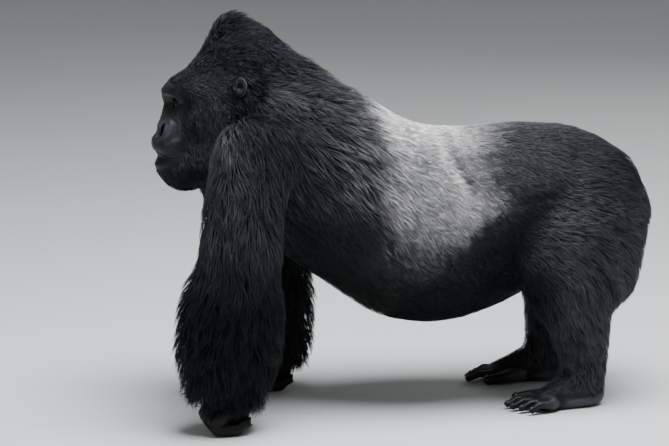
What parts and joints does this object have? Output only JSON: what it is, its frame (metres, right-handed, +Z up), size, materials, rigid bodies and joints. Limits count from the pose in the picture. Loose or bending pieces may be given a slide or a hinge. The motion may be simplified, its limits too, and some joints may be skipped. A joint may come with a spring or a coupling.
{
  "type": "silverback mountain gorilla model",
  "caption": "Life-size adult male mountain gorilla standing on its knuckles and soles, head level, as a still display model.",
  "frame": {"origin": "on the floor, under the middle of the animal's bounding box", "axes": "the animal faces -X, +Y is its right side and +Z is up"},
  "size_m": [1.3598, 0.7868, 1.0827],
  "materials": {
    "black_fur": "long black coat with a cool grey sheen",
    "silver_fur": "short flat silver-grey hair of the saddle",
    "dark_skin": "bare black creased skin, satin",
    "eye": "wet dark brown eye"
  },
  "bodies": {
    "root": {"big_toe_left": "dark_skin", "big_toe_right": "dark_skin", "chest": "black_fur", "ear_left": "dark_skin", "ear_right": "dark_skin", "eye_left": "eye", "eye_right": "eye", "foot_left": "dark_skin", "foot_right": "dark_skin", "forearm_left": "black_fur", "forearm_right": "black_fur", "fourth_toe_left": "dark_skin", "fourth_toe_right": "dark_skin", "hand_left": "dark_skin", "hand_right": "dark_skin", "head": "black_fur", "index_finger_left": "dark_skin", "index_finger_right": "dark_skin", "little_finger_left": "dark_skin", "little_finger_right": "dark_skin", "little_toe_left": "dark_skin", "little_toe_right": "dark_skin", "loins": "silver_fur", "lower_jaw": "black_fur", "middle_finger_left": "dark_skin", "middle_finger_right": "dark_skin", "neck": "black_fur", "ring_finger_left": "dark_skin", "ring_finger_right": "dark_skin", "rump": "black_fur", "second_toe_left": "dark_skin", "second_toe_right": "dark_skin", "shank_left": "black_fur", "shank_right": "black_fur", "thigh_left": "black_fur", "thigh_right": "black_fur", "third_toe_left": "dark_skin", "third_toe_right": "dark_skin", "thumb_left": "dark_skin", "thumb_right": "dark_skin", "upper_arm_left": "black_fur", "upper_arm_right": "black_fur"}
  },
  "joints": []
}
